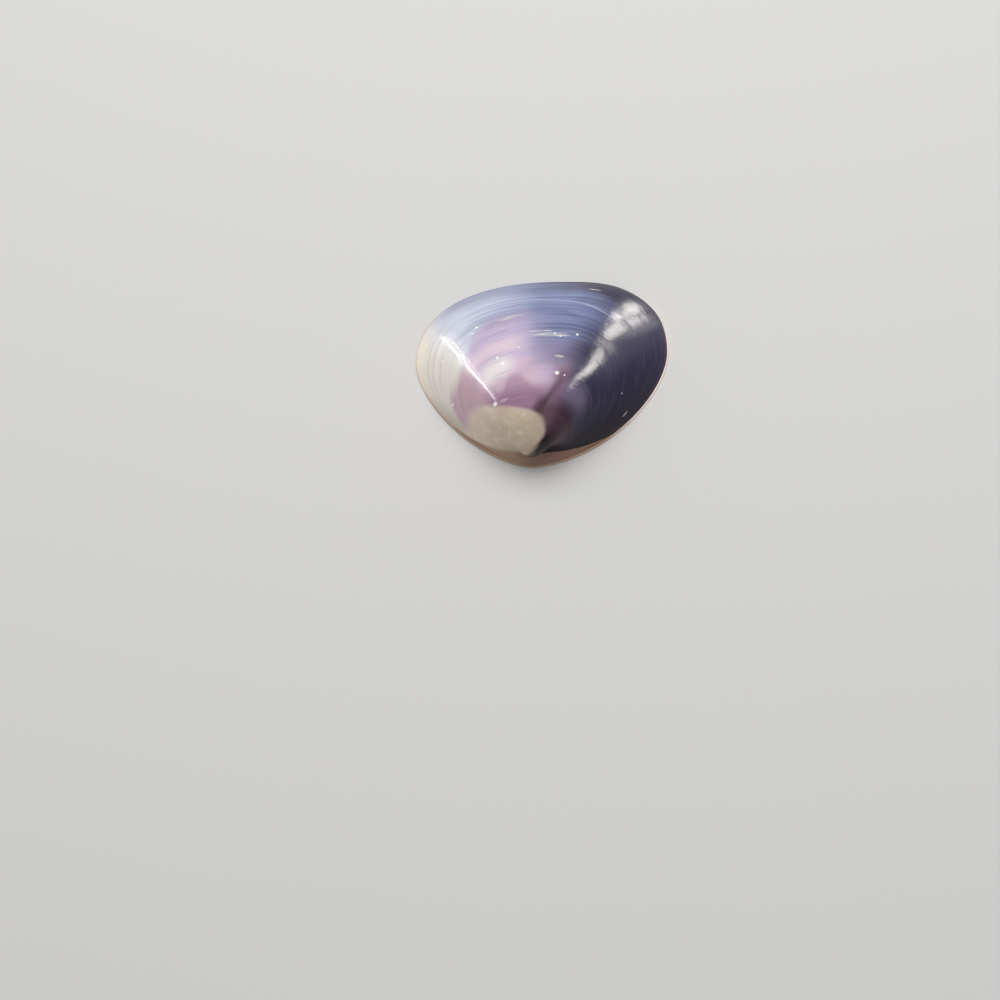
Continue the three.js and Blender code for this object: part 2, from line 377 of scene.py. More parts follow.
def hollow_relief(growth):
    """Depth of the scars, each a smooth-edged ellipse in turn and growth, and of the line that joins them.

    The line is a bell curve in growth, eased off where it meets a scar.
    """
    depth = np.zeros(np.broadcast_shapes(turn.shape, growth.shape))
    for at_turn, at_growth, half_turn, half_growth in SCARS:
        out = np.hypot((turn - at_turn) / half_turn, (growth - at_growth) / half_growth)
        depth = np.maximum(depth, SCAR_DEPTH * (1 - eased(out, *SCAR_EDGE)))
    hind_scar, front_scar = SCARS[0][0], SCARS[1][0]
    between = eased(turn, hind_scar, hind_scar + BODY_LINE_FADE)
    between = between * (1 - eased(turn, front_scar - BODY_LINE_FADE, front_scar))
    line = np.exp(-(((growth - BODY_LINE_GROWTH) / BODY_LINE_WIDTH) ** 2))
    return np.maximum(depth, BODY_LINE_DEPTH * line * between)


print("hollow:", hollow.shape[:2], "deepest at", round(hollow[..., 2].max(), 1), "mm")

# %% [markdown]
# ## One closed skin
#
# The stretches are stacked into one grid that runs from the beak over the dome, round the lip and up into
# the hollow. They could be separate pieces, but one grid closes without seams. Each row also knows how
# far along this journey it is: 0 at the beak, 1 at the margin, 2 where the hollow starts and 3 at its
# end. Wear has set the tip of the real beak back from the hinge, so the points near it move back
# together, hollow and all.

# %% Stack the rows
BEAK_WEAR = 2.0
WEAR_HEIGHTS = (1.0, 4.5)
WEAR_REACH_Y = (0.0, 10.0)
WEAR_HALF_WIDTH = 9.0


def worn_back(points):
    """The beak set back along y: BEAK_WEAR, times smooth steps in z and y and a bell curve in x."""
    x, y, z = points[..., 0], points[..., 1], points[..., 2]
    share = eased(z, *WEAR_HEIGHTS) * (1 - eased(y, *WEAR_REACH_Y)) * np.exp(-((x / WEAR_HALF_WIDTH) ** 2))
    return points + BEAK_WEAR * share[..., None] * (0, 1, 0)


def outward(points):
    """Unit normals: the cross product of the grid's steps along the journey and round the margin."""
    around = np.roll(points, -1, axis=1) - np.roll(points, 1, axis=1)
    along = np.gradient(points, axis=0)
    normal = np.cross(along, around)
    return normal / np.linalg.norm(normal, axis=-1, keepdims=True)


def flat_rows(points):
    """No relief at all, for a stretch that has none."""
    return np.zeros(points.shape[:2])


rows = worn_back(np.concatenate([outer_face, lip, rim, step, plate, hollow]))
relief = np.concatenate([
    outer_relief(outer_face, outer_growth),
    flare(np.ones((len(lip), 1))) * np.linspace(1, 0, len(lip))[:, None] ** 2,
    flat_rows(rim),
    flat_rows(step),
    teeth,
    -hollow_relief(hollow_growth),
])
rows = rows + outward(rows) * relief[..., None]
journey = np.concatenate([
    outer_growth[:, 0],
    np.linspace(1, 1.1, len(lip) + 1)[1:],
    np.linspace(1.1, 1.2, len(rim) + 1)[1:],
    np.linspace(1.2, 1.3, len(step) + 1)[1:],
    np.linspace(1.3, 2, len(plate) + 1)[1:],
    3 - hollow_growth[:, 0],
])
JOURNEY_END = 3
print("grid:", rows.shape[:2], "journey from", round(journey[0], 3), "to", round(journey[-1], 3))

# %% [markdown]
# ## From grid to mesh
#
# A mesh wants a list of points and a list of faces. Looping over the grid would be slow, so whole arrays
# of corner numbers are shifted against each other instead, and a single point closes the grid at each
# end. The UV map holds the turn and the journey, so that the finish can follow growth. It is stored per
# corner, so it has no gap at the hinge, where the turn jumps from 4 back to 0.

# %% Put the skin into a mesh
UV_NAME = "growth_map"


def skin_faces(row_count):
    """Quads between the rows, and a fan of triangles from the point at each end."""
    corner = 1 + np.arange(row_count * TURNS).reshape(row_count, TURNS)
    beside = np.roll(corner, -1, axis=1)
    quads = np.stack([corner[:-1], corner[1:], beside[1:], beside[:-1]], axis=-1).reshape(-1, 4)
    first = np.stack([np.zeros(TURNS, int), corner[0], beside[0]], axis=-1)
    last = np.stack([np.full(TURNS, 1 + row_count * TURNS), beside[-1], corner[-1]], axis=-1)
    return quads, first, last


def skin_uv():
    """Turn / 4 and journey / 3 at each corner of the quads and the two fans, in the order of the faces."""
    left, right = turn_edges[:-1] / 4, turn_edges[1:] / 4
    middle = (left + right) / 2
    low, high = journey[:-1, None] / JOURNEY_END, journey[1:, None] / JOURNEY_END
    shape = (len(journey) - 1, TURNS)
    u = np.stack([np.broadcast_to(side, shape) for side in (left, left, right, right)], axis=-1)
    v = np.stack([np.broadcast_to(level, shape) for level in (low, high, high, low)], axis=-1)
    quad_uv = np.stack([u, v], axis=-1).reshape(-1, 2)
    near, far = journey[0] / JOURNEY_END, journey[-1] / JOURNEY_END
    first_v = np.broadcast_to([0, near, near], (TURNS, 3))
    last_v = np.broadcast_to([1, far, far], (TURNS, 3))
    first_uv = np.stack([np.stack([middle, left, right], axis=-1), first_v], axis=-1).reshape(-1, 2)
    last_uv = np.stack([np.stack([middle, right, left], axis=-1), last_v], axis=-1).reshape(-1, 2)
    return np.concatenate([quad_uv, first_uv, last_uv])


origin = (HIND_REACH - cad_high[0] / MILLIMETRE, BELLY_Y - cad_high[1] / MILLIMETRE, 0.0)
ends = worn_back(np.array([BEAK, HOLLOW_POLE]))
points = np.concatenate([ends[:1], rows.reshape(-1, 3), ends[1:]]) - origin
quads, first_fan, last_fan = skin_faces(len(rows))
valve_mesh = bpy.data.meshes.new("clam_valve")
valve_mesh.from_pydata(points * MILLIMETRE, [], quads.tolist() + first_fan.tolist() + last_fan.tolist())
growth_map = valve_mesh.uv_layers.new(name=UV_NAME)
growth_map.data.foreach_set("uv", skin_uv().ravel())

OUTSIDE, INSIDE = 0, 1
quad_rows = np.repeat(np.arange(len(rows) - 1), TURNS)
quad_sides = np.where(quad_rows < len(outer_face) + len(lip), OUTSIDE, INSIDE)
sides = np.concatenate([quad_sides, np.full(TURNS, OUTSIDE), np.full(TURNS, INSIDE)])
valve_mesh.polygons.foreach_set("material_index", sides)
valve_mesh.polygons.foreach_set("use_smooth", np.ones(len(sides), bool))
valve_mesh.update()
valve = bpy.data.objects.new("clam_valve", valve_mesh)
bpy.context.scene.collection.objects.link(valve)
print("valve mesh:", len(valve_mesh.vertices), "points,", 2 * len(quads) + 2 * TURNS, "triangles")

# %% [markdown]
# ## Shader sums as Python sums
#
# A finish is a graph of nodes, and long graphs are hard to read when every sum is a node placed by hand.
# The small class below wraps a socket, so that `1 - mask` or `growth * 40` in Python adds the Math node
# for it. Colours are mixed by Mix nodes, because a Math node would turn them grey.

# %% A socket that can be reckoned with
class Wire:
    """One output socket of a node tree, used as a number, a vector or a colour."""

    def __init__(self, tree, socket):
        self.tree = tree
        self.socket = socket

    def add(self, kind, settings=None, inputs=None, output=0):
        """Add a node of any kind: first its settings, then the value or wire of each input that is named."""
        node = self.tree.nodes.new(kind)
        for name, value in (settings or {}).items():
            setattr(node, name, value)
        for name, value in (inputs or {}).items():
            if isinstance(value, Wire):
                self.tree.links.new(value.socket, node.inputs[name])
            else:
                node.inputs[name].default_value = value
        return Wire(self.tree, node.outputs[output])

    def math(self, operation, first, second):
        """One Math node: the operation on two numbers, of which either may be a wire."""
        return self.add("ShaderNodeMath", {"operation": operation}, {0: first, 1: second})

    def __add__(self, other):
        return self.math("ADD", self, other)

    def __radd__(self, other):
        return self.math("ADD", other, self)

    def __sub__(self, other):
        return self.math("SUBTRACT", self, other)

    def __rsub__(self, other):
        return self.math("SUBTRACT", other, self)

    def __mul__(self, other):
        return self.math("MULTIPLY", self, other)

    def __rmul__(self, other):
        return self.math("MULTIPLY", other, self)

    def __truediv__(self, other):
        return self.math("DIVIDE", self, other)

    def __rtruediv__(self, other):
        return self.math("DIVIDE", other, self)

    def at_least(self, other):
        """The larger of the two."""
        return self.math("MAXIMUM", self, other)

    def at_most(self, other):
        """The smaller of the two."""
        return self.math("MINIMUM", self, other)

    def power(self, exponent):
        """This number, which isn't negative, to the power of the exponent."""
        return self.math("POWER", self, exponent)

    def ramp(self, low, high):
        """Smoothly from 0 at low to 1 at high, and flat beyond. With low above high it falls instead."""
        ends = {"Value": self, "From Min": low, "From Max": high}
        return self.add("ShaderNodeMapRange", {"interpolation_type": "SMOOTHSTEP"}, ends)

    def band(self, low, high, soft):
        """1 between low and high, falling smoothly to 0 over soft at both ends."""
        return self.ramp(low - soft, low + soft) * self.ramp(high + soft, high - soft)

    def under(self, colour, mask):
        """This colour with another laid over it where the mask is 1."""
        colours = {0: mask, 6: self, 7: colour}
        return self.add("ShaderNodeMix", {"data_type": "RGBA"}, colours, output=2)

    def layered(self, *layers):
        """This colour with layers over it, one after another, each a screen colour and its mask."""
        colour = self
        for screen_colour, mask in layers:
            colour = colour.under(screen(*screen_colour), mask)
        return colour

    def noise(self, scale, detail):
        """Noise between about 0.2 and 0.8 at this vector."""
        return self.add("ShaderNodeTexNoise", inputs={"Vector": self, "Scale": scale, "Detail": detail})


def screen(red, green, blue):
    """A screen colour of 0 to 255 as the linear colour for a shader: nearly its share to the power 2.2."""
    shares = np.array([red, green, blue]) / 255
    linear = np.where(shares <= 0.04045, shares / 12.92, ((shares + 0.055) / 1.055) ** 2.4)
    return (*linear.tolist(), 1.0)


NAVY = (46, 42, 68)
print("navy as linear light:", [round(part, 3) for part in screen(*NAVY)[:3]])

# %% [markdown]
# ## Where a point is on the shell
#
# The finish needs to know where each point is: its turn and its journey, from the UV map, and its place
# in millimetres from the beak, from the object's coordinates. Generated coordinates would change with the
# box of the mesh. Two kinds of noise are shared by the colours: streaks, which are drawn out along the
# lines of growth, and clouds, which bend the edges of the colour zones.

# %% Coordinates for a finish
class Place:
    """The wires that every finish starts from: turn, journey, and the place in millimetres from the beak."""

    def __init__(self, material):
        material.use_nodes = True
        self.tree = material.node_tree
        self.shader = self.tree.nodes["Principled BSDF"]
        start = Wire(self.tree, None)
        uv = start.add("ShaderNodeUVMap", {"uv_map": UV_NAME})
        self.turn = uv.add("ShaderNodeSeparateXYZ", inputs={0: uv}) * 4
        self.journey = uv.add("ShaderNodeSeparateXYZ", inputs={0: uv}, output=1) * JOURNEY_END
        coordinates = start.add("ShaderNodeTexCoord", output=3)
        from_beak = {0: coordinates, 1: (1 / MILLIMETRE,) * 3, 2: origin}
        self.spot = coordinates.add("ShaderNodeVectorMath", {"operation": "MULTIPLY_ADD"}, from_beak)
        self.x = self.spot.add("ShaderNodeSeparateXYZ", inputs={0: self.spot})
        self.y = self.spot.add("ShaderNodeSeparateXYZ", inputs={0: self.spot}, output=1)
        self.z = self.spot.add("ShaderNodeSeparateXYZ", inputs={0: self.spot}, output=2)

    def streaks(self, lines, length, detail=2.0):
        """Noise with this many lines between beak and margin, each about this many millimetres long."""
        sockets = {"X": self.journey * lines, "Y": self.x / length, "Z": self.y / length}
        drawn_out = self.journey.add("ShaderNodeCombineXYZ", inputs=sockets)
        return drawn_out.noise(1.0, detail)

    def clouds(self, size, detail=2.0):
        """Noise in patches of about this many millimetres."""
        return self.spot.noise(1 / size, detail)

    def colour(self, red, green, blue):
        """One screen colour as a wire, for others to be laid over."""
        node = self.tree.nodes.new("ShaderNodeRGB")
        node.outputs[0].default_value = screen(red, green, blue)
        return Wire(self.tree, node.outputs[0])

    def feed(self, **sockets):
        """Link wires to the shader's sockets, and set numbers and colours on them."""
        for name, value in sockets.items():
            socket = self.shader.inputs[name.replace("_", " ")]
            if isinstance(value, Wire):
                self.tree.links.new(value.socket, socket)
            else:
                socket.default_value = value


print("shared noises: streaks along growth, clouds across it")

# %% [markdown]
# ## Navy and slate
#
# The real finish is shell polished through its brown skin, so the layers of growth show as bands of
# colour. Navy covers the hind end and slate blue the belly. An image could be wrapped round the shell,
# but zones described by turn and growth stay sharp at any distance, and each can be read and changed on
# its own. A zone is a colour and a list of layers, each with its own colour and the mask that says where
# it lies.

# %% Navy and slate
NAVY_GLINT = (92, 90, 116)
NAVY_PAINTED_SHEEN = (96, 94, 116)
NAVY_PAINTED_SHADE = (28, 18, 32)
NAVY_GREY_RING = (104, 98, 124)
NAVY_MAUVE_RING = (114, 103, 128)
SLATE = (128, 136, 174)
SLATE_DARK_LINE = (88, 92, 134)
SLATE_PALE_LINE = (156, 164, 196)
SLATE_MARGIN = (98, 106, 142)
SLATE_REST_RING = (94, 100, 134)
SLATE_HIND_RING = (100, 106, 138)
SLATE_GREY_RING = (100, 97, 126)
SLATE_LILAC = (142, 134, 166)
SLATE_EDGE_TURN = 1.57


def navy_and_slate(place, turn_now, growth):
    """Navy on the hind end, with slate blue beyond an edge that bows towards the hind end.

    The edge is SLATE_EDGE_TURN plus smooth steps in growth, and the mix is a smooth step in turn across it.
    """
    fine = place.streaks(150, 9, 3)
    lines = place.streaks(85, 40, 3)
    navy = place.colour(*NAVY).layered(
        (NAVY_GLINT, fine.ramp(0.5, 0.76) * 0.5),
        # Painted sheen: lighter beside the hind highlight.
        (NAVY_PAINTED_SHEEN, turn_now.band(1.1, 1.45, 0.15) * growth.ramp(0.4, 0.6) * 0.35),
        # Painted shade: darker towards the hinge at the hind end.
        (NAVY_PAINTED_SHADE, turn_now.ramp(1.0, 0.55) * 0.85),
        (NAVY_GREY_RING, growth.band(0.45, 0.52, 0.04) * turn_now.ramp(1.5, 1.68) * 0.6),
        (NAVY_MAUVE_RING, growth.band(0.32, 0.42, 0.04) * turn_now.ramp(0.85, 1.3) * 0.9),
    )
    rest_line = growth - 0.06 * turn_now.ramp(1.8, 2.1)
    slate = place.colour(*SLATE).layered(
        (SLATE_DARK_LINE, lines.ramp(0.5, 0.7) * 0.7),
        (SLATE_PALE_LINE, lines.ramp(0.46, 0.32) * 0.5),
        (SLATE_MARGIN, growth.band(0.87, 0.94, 0.02) * 0.6),
        (SLATE_REST_RING, rest_line.band(0.675, 0.695, 0.02) * 0.6),
        (SLATE_HIND_RING, growth.band(0.8, 0.87, 0.02) * turn_now.ramp(1.98, 1.88) * 0.6),
        (SLATE_GREY_RING, growth.band(0.61, 0.64, 0.015) * 0.5),
        (SLATE_LILAC, growth.ramp(0.6, 0.52)),
    )
    edge = SLATE_EDGE_TURN + 0.4 * growth.ramp(0.84, 0.96) + 0.2 * growth.ramp(0.66, 0.46)
    return navy.under(slate, (turn_now - edge).ramp(-0.12, 0.34))


print("navy gives way to slate near turn", SLATE_EDGE_TURN)

# %% [markdown]
# ## White and ivory
#
# Towards the front the shell is bluish white and then ivory. Thin lines of growth cross both zones,
# darker where growth was slow, and one bright line runs right along the belly. A Wave texture could draw
# such lines, but it repeats too evenly, so streaked noise is cut at two levels into dark and pale ones.

# %% White and ivory
WHITE = (176, 180, 206)
WHITE_FRONT = (208, 212, 228)
WHITE_DARK_LINE = (158, 163, 192)
WHITE_PALE_LINE = (216, 221, 237)
WHITE_RING = (206, 209, 229)
WHITE_MARGIN_SHADE = (148, 150, 176)
IVORY = (236, 230, 222)
IVORY_PALE_LINE = (242, 238, 230)
IVORY_DARK_LINE = (202, 194, 186)
IVORY_MARGIN = (248, 236, 220)
IVORY_HINGE = (212, 202, 190)
IVORY_TURNS = (2.62, 2.95)
BRIGHT_LINE = (214, 219, 234)
BRIGHT_LINE_GROWTH = 0.775
BRIGHT_LINE_HALF = 0.0015
BRIGHT_LINE_SOFTNESS = 0.004


def white_and_ivory(place, turn_now, growth):
    """Bluish white beside the slate, turning to ivory by a smooth step in turn, both banded by growth."""
    lines = place.streaks(70, 40, 3)
    white = place.colour(*WHITE).layered(
        (WHITE_FRONT, turn_now.ramp(2.42, 2.62)),
        (WHITE_DARK_LINE, lines.ramp(0.5, 0.68) * 0.7),
        (WHITE_PALE_LINE, lines.ramp(0.47, 0.32) * 0.7),
        (WHITE_RING, growth.band(0.84, 0.88, 0.02) * 0.6),
        # Painted shade: darker towards the belly margin on the white.
        (WHITE_MARGIN_SHADE, growth.ramp(0.88, 0.975) * turn_now.ramp(2.8, 2.5) * 0.9),
    )
    ivory = place.colour(*IVORY).layered(
        (IVORY_PALE_LINE, lines.ramp(0.47, 0.32)),
        (IVORY_DARK_LINE, place.streaks(46, 50, 3).ramp(0.54, 0.7) * 0.7),
        (IVORY_MARGIN, growth.ramp(0.88, 0.97) * 0.8),
        (IVORY_HINGE, turn_now.ramp(3.2, 3.45)),
    )
    return white.under(ivory, turn_now.ramp(*IVORY_TURNS))


def bright_line(turn_now, journey):
    """A narrow band in growth along the belly, whose middle drops a little towards the hind end."""
    middle = BRIGHT_LINE_GROWTH + 0.05 * turn_now.ramp(1.6, 2.2) + 0.03 * turn_now.ramp(2.2, 2.8)
    line = (journey - middle).band(-BRIGHT_LINE_HALF, BRIGHT_LINE_HALF, BRIGHT_LINE_SOFTNESS)
    return line * turn_now.band(1.6, 2.75, 0.12) * 0.85


print("white turns to ivory between the turns", IVORY_TURNS)

# %% [markdown]
# ## The lavender saddle
#
# Across the middle of the dome lies a lavender saddle, pinker below, with a white heart and deep purple
# next to the beak. It could be painted by hand as vertex colours, but those are only as fine as the mesh.
# Its edges are smooth steps whose limits themselves change with turn and growth, which makes them wave.

# %% The lavender saddle
LAVENDER = (198, 182, 211)
LAVENDER_TOP = (174, 158, 186)
LAVENDER_PINK_RING = (228, 205, 218)
LAVENDER_ROSE = (210, 182, 199)
LAVENDER_HIND = (166, 144, 164)
LAVENDER_SHADOW = (128, 98, 120)
LAVENDER_FRONT = (208, 174, 187)
LAVENDER_HEART = (240, 231, 232)
LAVENDER_PALE_HAIR = (236, 226, 234)
LAVENDER_DARK_HAIR = (164, 136, 166)
PURPLE = (184, 150, 172)
PURPLE_DEEP = (156, 120, 146)
PURPLE_CLOUD = (142, 108, 140)
PURPLE_HAIR = (196, 166, 184)
SADDLE_TOP = 0.74


def saddle_mask(turn_now, growth):
    """1 on the saddle: the larger of a front part, below a wavy top edge, and of a lower hind part."""
    top = SADDLE_TOP - 0.13 * turn_now.ramp(2.4, 2.8) + 0.12 * turn_now.ramp(2.85, 3.3)
    low_turn = turn_now + 0.12 * growth.ramp(0.56, 0.44)
    side = 0.1 * turn_now.ramp(2.11, 2.19) + 0.9 * low_turn.ramp(1.98, 2.36)
    front_part = side * growth.ramp(top + 0.04, top - 0.05)
    hind_part = turn_now.ramp(1.56, 1.86) * growth.ramp(0.5, 0.42)
    return front_part.at_least(hind_part)


def saddle_over(place, face, turn_now, growth):
    """Lavender, under purple towards the beak by a smooth step in growth, with fine hairs along growth."""
    hairs = place.streaks(90, 14, 3)
    purple = place.colour(*PURPLE).layered(
        (PURPLE_DEEP, growth.ramp(0.4, 0.33)),
        (PURPLE_CLOUD, place.clouds(5, 1).ramp(0.45, 0.7) * 0.3),
        (PURPLE_HAIR, hairs.ramp(0.52, 0.72) * 0.4),
    )
    peaked = growth - 0.05 * turn_now.band(2.2, 2.42, 0.08) - 0.05 * turn_now.ramp(2.52, 2.7)
    lavender = place.colour(*LAVENDER).layered(
        (LAVENDER_TOP, growth.ramp(0.64, 0.72) * turn_now.ramp(2.56, 2.4)),
        (LAVENDER_PINK_RING, growth.band(0.53, 0.6, 0.03) * turn_now.ramp(2.08, 2.24) * 0.9),
        (LAVENDER_ROSE, growth.ramp(0.53, 0.45) * turn_now.ramp(1.95, 2.15)),
    )
    saddle = lavender.under(purple, peaked.ramp(0.4, 0.35)).layered(
        (LAVENDER_HIND, turn_now.ramp(2.06, 1.92) * 0.85),
        (LAVENDER_SHADOW, turn_now.ramp(1.97, 1.82) * growth.ramp(0.47, 0.42)),
        (LAVENDER_FRONT, turn_now.ramp(2.68, 2.9)),
        (LAVENDER_HEART, growth.band(0.43, 0.51, 0.03) * turn_now.band(2.32, 2.68, 0.1)),
        (LAVENDER_PALE_HAIR, hairs.ramp(0.58, 0.76) * growth.ramp(0.4, 0.5) * 0.4),
        (LAVENDER_DARK_HAIR, hairs.ramp(0.44, 0.3) * 0.4),
    )
    return face.under(saddle, saddle_mask(turn_now, growth))


print("the saddle reaches up to growth", SADDLE_TOP)

# %% [markdown]
# ## The worn patch
#
# The beak is the oldest part, and its polish has gone through to a cream layer in a patch with one sharp
# side. The patch crosses the lines of growth, so growth and turn can't describe it. A superellipse in
# millimetres does, laid out as it looks from straight above the patch.

# %% The worn patch
PATCH_MIDDLE = (-6.7, 8.9)
PATCH_HALF = (10.5, 5.7)
PATCH_TILT = -0.07
PATCH_SQUARENESS = 2.9
PATCH_SLOPE = math.radians(23)
PATCH_SKEW = 0.5
PATCH_LOWER_SHARE = 0.74
PATCH_SOFTNESS = 0.2
PATCH_FRONT_SOFTER = 0.3
PATCH_TOP_SOFTER = 0.15
PATCH_RAGGED = 0.3
CREAM = (216, 198, 178)
CREAM_WHITE_CLOUD = (244, 232, 218)
CREAM_OLIVE_CLOUD = (198, 182, 142)
CREAM_FRONT = (244, 230, 214)
CREAM_HIND = (190, 170, 152)
CREAM_PINK_EDGE = (200, 166, 166)
CREAM_TIP = (196, 168, 146)


def cream_patch(place, ragged=0.0):
    """1 on the worn patch, where along ** squareness + aside ** squareness is below 1, and softest in front.

    Below its middle it reaches further, and it is skewed by the square of the way down.
    """
    across = place.x - PATCH_MIDDLE[0]
    up = place.y * math.cos(PATCH_SLOPE) + place.z * math.sin(PATCH_SLOPE) - PATCH_MIDDLE[1]
    along = (across * math.cos(PATCH_TILT) + up * math.sin(PATCH_TILT)) / PATCH_HALF[0]
    aside = (up * math.cos(PATCH_TILT) - across * math.sin(PATCH_TILT)) / PATCH_HALF[1]
    below = aside.at_most(0)
    along = along + PATCH_SKEW * below * below
    aside = aside.at_least(PATCH_LOWER_SHARE * aside)
    half_power = PATCH_SQUARENESS / 2
    reach = (along * along).power(half_power) + (aside * aside).power(half_power) + ragged
    soft = PATCH_SOFTNESS + PATCH_FRONT_SOFTER * along.ramp(-0.2, -0.9)
    soft = soft + PATCH_TOP_SOFTER * aside.ramp(0, 0.8)
    return (1 - reach).ramp(0 - soft, soft)


def patch_over(place, face, turn_now, growth):
    """Cream with clouds of white and olive, paler in front, inside the patch with a ragged edge."""
    cream = place.colour(*CREAM).layered(
        (CREAM_WHITE_CLOUD, place.clouds(2.4, 3).ramp(0.46, 0.74) * 0.7),
        (CREAM_OLIVE_CLOUD, place.clouds(3.6, 3).ramp(0.44, 0.74) * 0.6),
        (CREAM_FRONT, place.x.ramp(-5, -14) * 0.45),
        (CREAM_HIND, place.x.ramp(-3, 4) * 0.5),
        (CREAM_PINK_EDGE, growth.ramp(0.26, 0.32) * turn_now.ramp(2.85, 2.6) * 0.6),
        (CREAM_TIP, growth.ramp(0.16, 0.08) * 0.6),
    )
    ragged = PATCH_RAGGED * (place.clouds(2.5, 3) - 0.5)
    return face.under(cream, cream_patch(place, ragged))


print("worn patch:", [2 * half for half in PATCH_HALF], "mm before its skew")

# %% [markdown]
# ## The beak
#
# Behind the patch the beak is red brown, with a dark ray running up from it, and its very tip is nearly
# black behind and pale in front. These could be shapes in millimetres too, but they follow the growth of
# the young shell, so turn and growth suit them better. Only the line across the tip is set in
# millimetres.

# %% The beak
BROWN = (78, 54, 66)
BROWN_UPPER = (108, 78, 90)
BROWN_RING = (54, 38, 50)
BROWN_BLACK = (34, 22, 34)
RAY = (82, 52, 74)
RAY_ROOT = (64, 38, 52)
RAY_TURN = 2.57
RAY_LEAN = 1.9
RAY_HALF = 0.045
TIP_DARK = (42, 29, 37)
TIP_PALE = (200, 176, 152)
TIP_GROWTH = 0.14
TIP_LEAN = 0.6


def beak_over(place, face, turn_now, growth):
    """Red brown on the beak's hind side, a dark ray above it, and a tip, dark behind and pale in front.

    The ray is a band in turn that leans with growth. The tip's two sides meet along a line that leans in z.
    """
    rings = place.streaks(130, 30, 3)
    brown = place.colour(*BROWN).layered(
        (BROWN_UPPER, turn_now.ramp(1.5, 1.85)),
        (BROWN_RING, rings.ramp(0.46, 0.7) * 0.5),
        (BROWN_BLACK, growth.ramp(0.22, 0.14)),
    )
    face = face.under(brown, growth.ramp(0.36, 0.27) * turn_now.ramp(2.14, 2.0) * turn_now.ramp(0.6, 1.0))
    from_ray = place.turn - (RAY_TURN - RAY_LEAN * growth)
    ray = from_ray.band(-RAY_HALF, RAY_HALF, 0.08) * growth.band(0.27, 0.39, 0.06)
    face = face.layered((RAY, ray * 0.95), (RAY_ROOT, ray * growth.ramp(0.35, 0.3) * 0.8))
    behind = place.x - TIP_LEAN * place.z
    tip = place.colour(*TIP_DARK).layered((TIP_PALE, behind.ramp(-3.4, -5.4)))
    tip_reach = TIP_GROWTH + 0.12 * place.turn.ramp(2.8, 3.2)
    return face.under(tip, (growth - tip_reach).ramp(0.03, -0.03))


print("the beak's tip ends at growth", TIP_GROWTH)

# %% [markdown]
# ## The strips beside the hinge
#
# Right under the beak the wall was never polished. It is dull and tan, with fine lines of growth, and a
# painted shadow darkens the step where the polish ends. It could be a material of its own on its own
# faces, but then its edge would follow the mesh. The same two humps that lower the strip in the relief
# also colour it, so both edges agree.

# %% The strips beside the hinge
STRIP_FRONT_SOFTER = 0.8
CREASE_SHADE_LIFT = 0.8
CREASE_SHADE = (24, 14, 20)
TAN = (160, 124, 110)
TAN_DARK_LINE = (122, 90, 80)
TAN_PALE_LINE = (190, 158, 142)
TAN_FRONT = (196, 164, 138)


def strip_mask(place, lift=0.0):
    """1 where z is below the higher of two parabolas in x: those of the relief, raised by the lift."""
    humps = []
    for height, middle, half_length in STRIP_HUMPS:
        away = (place.x - middle) / half_length
        humps.append(height * (1 - away * away))
    above = humps[0].at_least(humps[1]) + lift - place.z
    soft = STRIP_SOFTNESS + STRIP_FRONT_SOFTER * place.x.ramp(1, -6)
    return above.ramp(0 - soft, soft) * place.y.ramp(STRIP_END_Y[1], STRIP_END_Y[0])


def strips_over(place, face):
    """Dull tan with fine lines of growth, over painted shade along the step, which is the same mask raised a
    little.
    """
    tan = place.colour(*TAN).layered(
        (TAN_DARK_LINE, place.streaks(120, 12, 3).ramp(0.5, 0.7) * 0.7),
        (TAN_PALE_LINE, place.streaks(70, 16, 3).ramp(0.5, 0.36) * 0.5),
        (TAN_FRONT, place.x.ramp(6, -5) * 0.75),
    )
    # Painted shade: a dark band along the step at the strip's upper edge on the hind side.
    crease_shade = strip_mask(place, CREASE_SHADE_LIFT) * place.x.ramp(0, 4) * 0.85
    return face.layered((CREASE_SHADE, crease_shade)).under(tan, strip_mask(place))


print("strips:", max(height for height, _, _ in STRIP_HUMPS), "mm high below the beak")

# %% [markdown]
# ## Painted glints and strokes
#
# Small pits in the polish glint, and these glints are painted as white dots. Short cream strokes lie along
# the lines of growth. Loose white beads could stand for the dots, but the pits lie in the surface. A glint
# is a disc seen from above, and a stroke is an ellipse in turn and growth, broken up by streaks.

# %% Painted glints and strokes
# White spots painted where small pits in the polish glint: x and y in millimetres from the beak, and a
# radius.
GLINT_SPOTS = (
    (6.5, 18.0, 0.55), (8.5, 17.5, 0.25), (5.5, 31.0, 0.3), (7.0, 30.0, 0.25), (11.5, 31.0, 0.35),
    (-9.5, 23.0, 0.4), (-8.0, 21.0, 0.5), (-4.0, 26.0, 0.25), (-16.0, 35.0, 0.4), (-17.0, 33.0, 0.3),
    (-9.5, 10.0, 0.55), (-21.5, 14.0, 0.3), (-25.0, 26.5, 0.3), (24.0, 18.0, 0.14),
)
# Cream strokes: turn, growth and the half sizes in both. The one at turn 2.52 and growth 0.337 is a painted
# highlight, the tail of the left highlight along the top of the worn patch.
STROKES = (
    (2.02, 0.592, 0.15, 0.012), (2.1, 0.612, 0.08, 0.009), (1.93, 0.488, 0.07, 0.009),
    (2.28, 0.715, 0.1, 0.012), (2.5, 0.73, 0.05, 0.006), (1.86, 0.925, 0.06, 0.005),
    (2.52, 0.337, 0.12, 0.006), (2.99, 0.77, 0.06, 0.006), (0.64, 0.83, 0.026, 0.013),
)
GLINT_SOFT_RADII = (1.3, 0.6)
GLINT_WHITE = (252, 250, 248)
STROKE_CREAM = (224, 220, 206)


